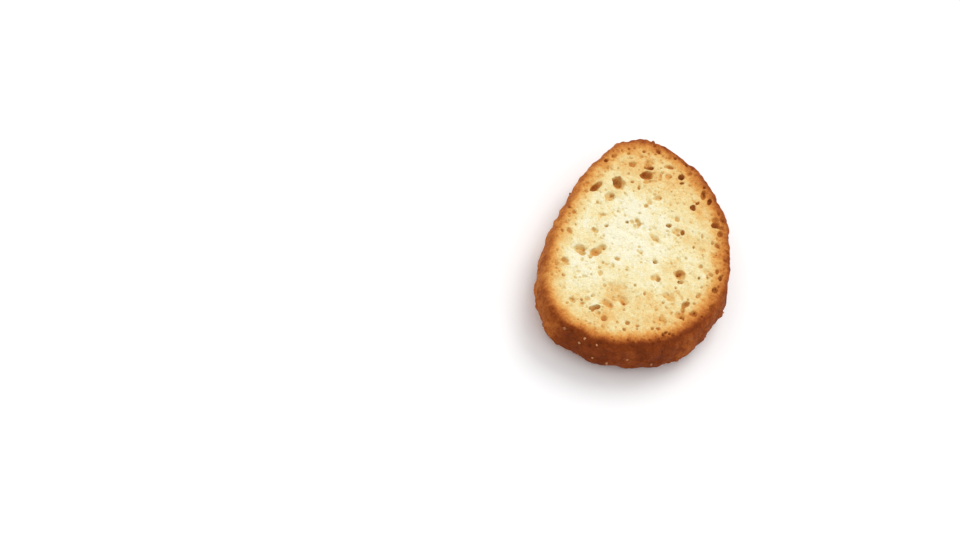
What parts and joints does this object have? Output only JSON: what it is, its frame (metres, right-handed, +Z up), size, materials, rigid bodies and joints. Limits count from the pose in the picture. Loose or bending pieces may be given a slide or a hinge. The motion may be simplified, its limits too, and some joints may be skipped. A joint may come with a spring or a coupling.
{
  "type": "toasted bread slice",
  "caption": "Slice of a small white loaf, toasted dry: flat cut faces with open pores, a rounded browned crust dusted with semolina, flat along the sole and domed opposite",
  "frame": {"origin": "on the lower cut face's plane, under the middle of the slice's box", "axes": "+Z up, across the slice's thickness; +Y along the slice's length; +X from the flat sole towards the dome of the crust"},
  "size_m": [0.0552, 0.0781, 0.013],
  "materials": {
    "crumb": "dry open crumb, matte, browned towards the crust"
  },
  "bodies": {
    "root": {"toast_slice": "crumb"}
  },
  "joints": []
}
